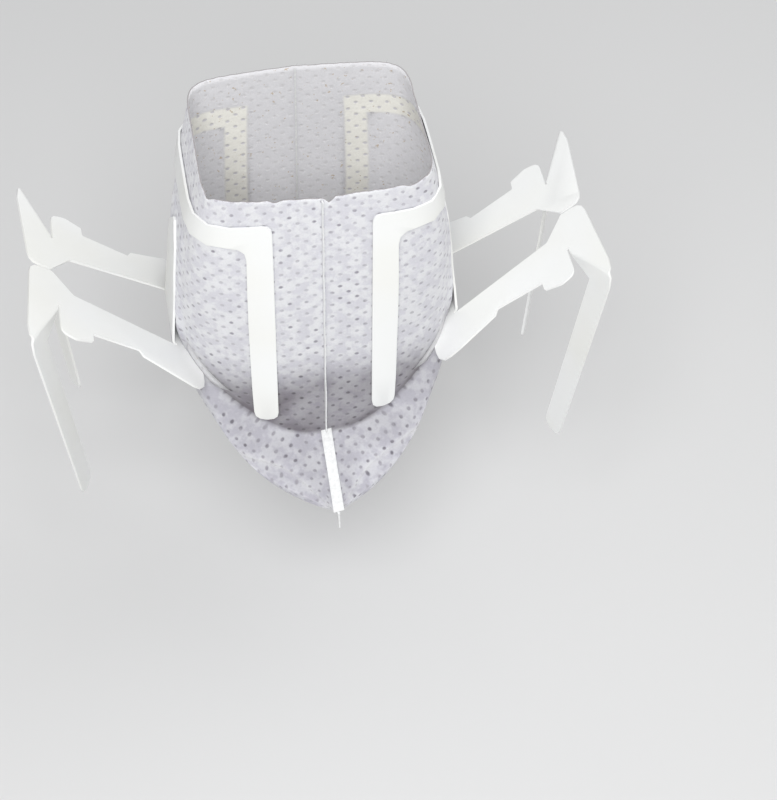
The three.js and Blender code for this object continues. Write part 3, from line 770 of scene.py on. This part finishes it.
def runTree(source, tree, values, name):
    modifier = source.modifiers.new(name, "NODES")
    modifier.node_group = tree
    for item in tree.interface.items_tree:
        if item.in_out == "INPUT" and item.name in values:
            modifier[item.identifier] = values[item.name]
    bpy.context.view_layer.update()
    graph = bpy.context.evaluated_depsgraph_get()
    mesh = bpy.data.meshes.new_from_object(source.evaluated_get(graph))
    mesh.name = name
    piece = bpy.data.objects.new(name, mesh)
    bpy.context.scene.collection.objects.link(piece)
    return piece


def looseObject(name, verts, edges, faces):
    mesh = bpy.data.meshes.new(name)
    mesh.from_pydata(verts, edges, faces)
    thing = bpy.data.objects.new(name, mesh)
    bpy.context.scene.collection.objects.link(thing)
    return thing


def coffeeGrounds():
    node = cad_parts["ground_coffee"]
    builder = bmesh.new()
    builder.from_mesh(node.data)
    bmesh.ops.remove_doubles(builder, verts=builder.verts, dist=1e-6)
    builder.normal_update()
    low = [made for made in builder.faces if made.normal.z < 0.6]
    bed = bpy.data.meshes.new("coffeeBed")
    builder.to_mesh(bed)
    bmesh.ops.delete(builder, geom=low, context="FACES")
    top = bpy.data.meshes.new("coffeeTop")
    builder.to_mesh(top)
    builder.free()
    topPiece = bpy.data.objects.new("coffeeTop", top)
    bpy.context.scene.collection.objects.link(topPiece)
    values = {"Density": grounds["perSquareMetre"], "Grain Size": grounds["size"], "Seed": grounds["seed"]}
    piece = runTree(topPiece, grainTree(), values, "coffeeGrounds")
    bpy.data.objects.remove(topPiece)
    joined = bmesh.new()
    joined.from_mesh(piece.data)
    joined.from_mesh(bed)
    joined.to_mesh(piece.data)
    joined.free()
    piece.data.materials.clear()
    piece.data.materials.append(grainMaterial)
    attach(piece, "root")
    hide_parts("ground_coffee")
    return piece


def edgeFuzz():
    # one thin bent fibre, 0.9 mm long before it is scaled, standing up from the torn edge
    verts, faces = [], []
    for i in range(5):
        t = i / 4
        for k in range(3):
            angle = 2.1 * k
            r = 0.035 * (1 - 0.6 * t)
            verts.append((r * math.cos(angle) + 0.3 * t * t, r * math.sin(angle), t * 0.9))
    for i in range(4):
        for k in range(3):
            a, b = i * 3 + k, i * 3 + (k + 1) % 3
            faces.append((a, b, b + 3, a + 3))
    faces += [(2, 1, 0), (12, 13, 14)]
    fibre = looseObject("fibreShape", [tuple(c * mm for c in v) for v in verts], [], faces)
    line = []
    for side in (1, -1):
        row = [entry[0] * mm for entry in bagSide(side)[0]]
        line += row if side > 0 else row[::-1][1:-1]
    shown = [tuple(p - Vector((0, 0, 0.15 * mm))) for p in line]
    loop = looseObject("tornLine", shown, [(i, (i + 1) % len(shown)) for i in range(len(shown))], [])
    values = {"Count": fuzz["fibres"], "Fibre Length": fuzz["length"], "Seed": fuzz["seed"]}
    piece = runTree(loop, fuzzTree(), values, "tornFuzz")
    bpy.data.objects.remove(loop)
    bpy.data.objects.remove(fibre)
    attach(piece, "root")
    return piece


coffeeGrounds()
edgeFuzz()
print("coffee grains and torn fibres made")

# floor
floorMesh = bpy.data.meshes.new("floor")
reach = studio["floorReach"]
level = studio["floorHeight"]
signs = ((-1, -1), (1, -1), (1, 1), (-1, 1))
floorCorners = [(x * reach, y * reach, level) for x, y in signs]
floorMesh.from_pydata(floorCorners, [], [(0, 1, 2, 3)])
floor = bpy.data.objects.new("floor", floorMesh)
bpy.context.scene.collection.objects.link(floor)
floorShade = Shade("paleFloor")
floorPlace, _ = floorShade.coordinates("Object")
floorTone = floorShade.noise(floorPlace, 3.0)
floorShade.colour(floorShade.mix(floorTone, studio["floorColour"], studio["floorColourPaler"]))
floorShade.surface.inputs["Roughness"].default_value = 0.9
floorMesh.materials.append(floorShade.material)
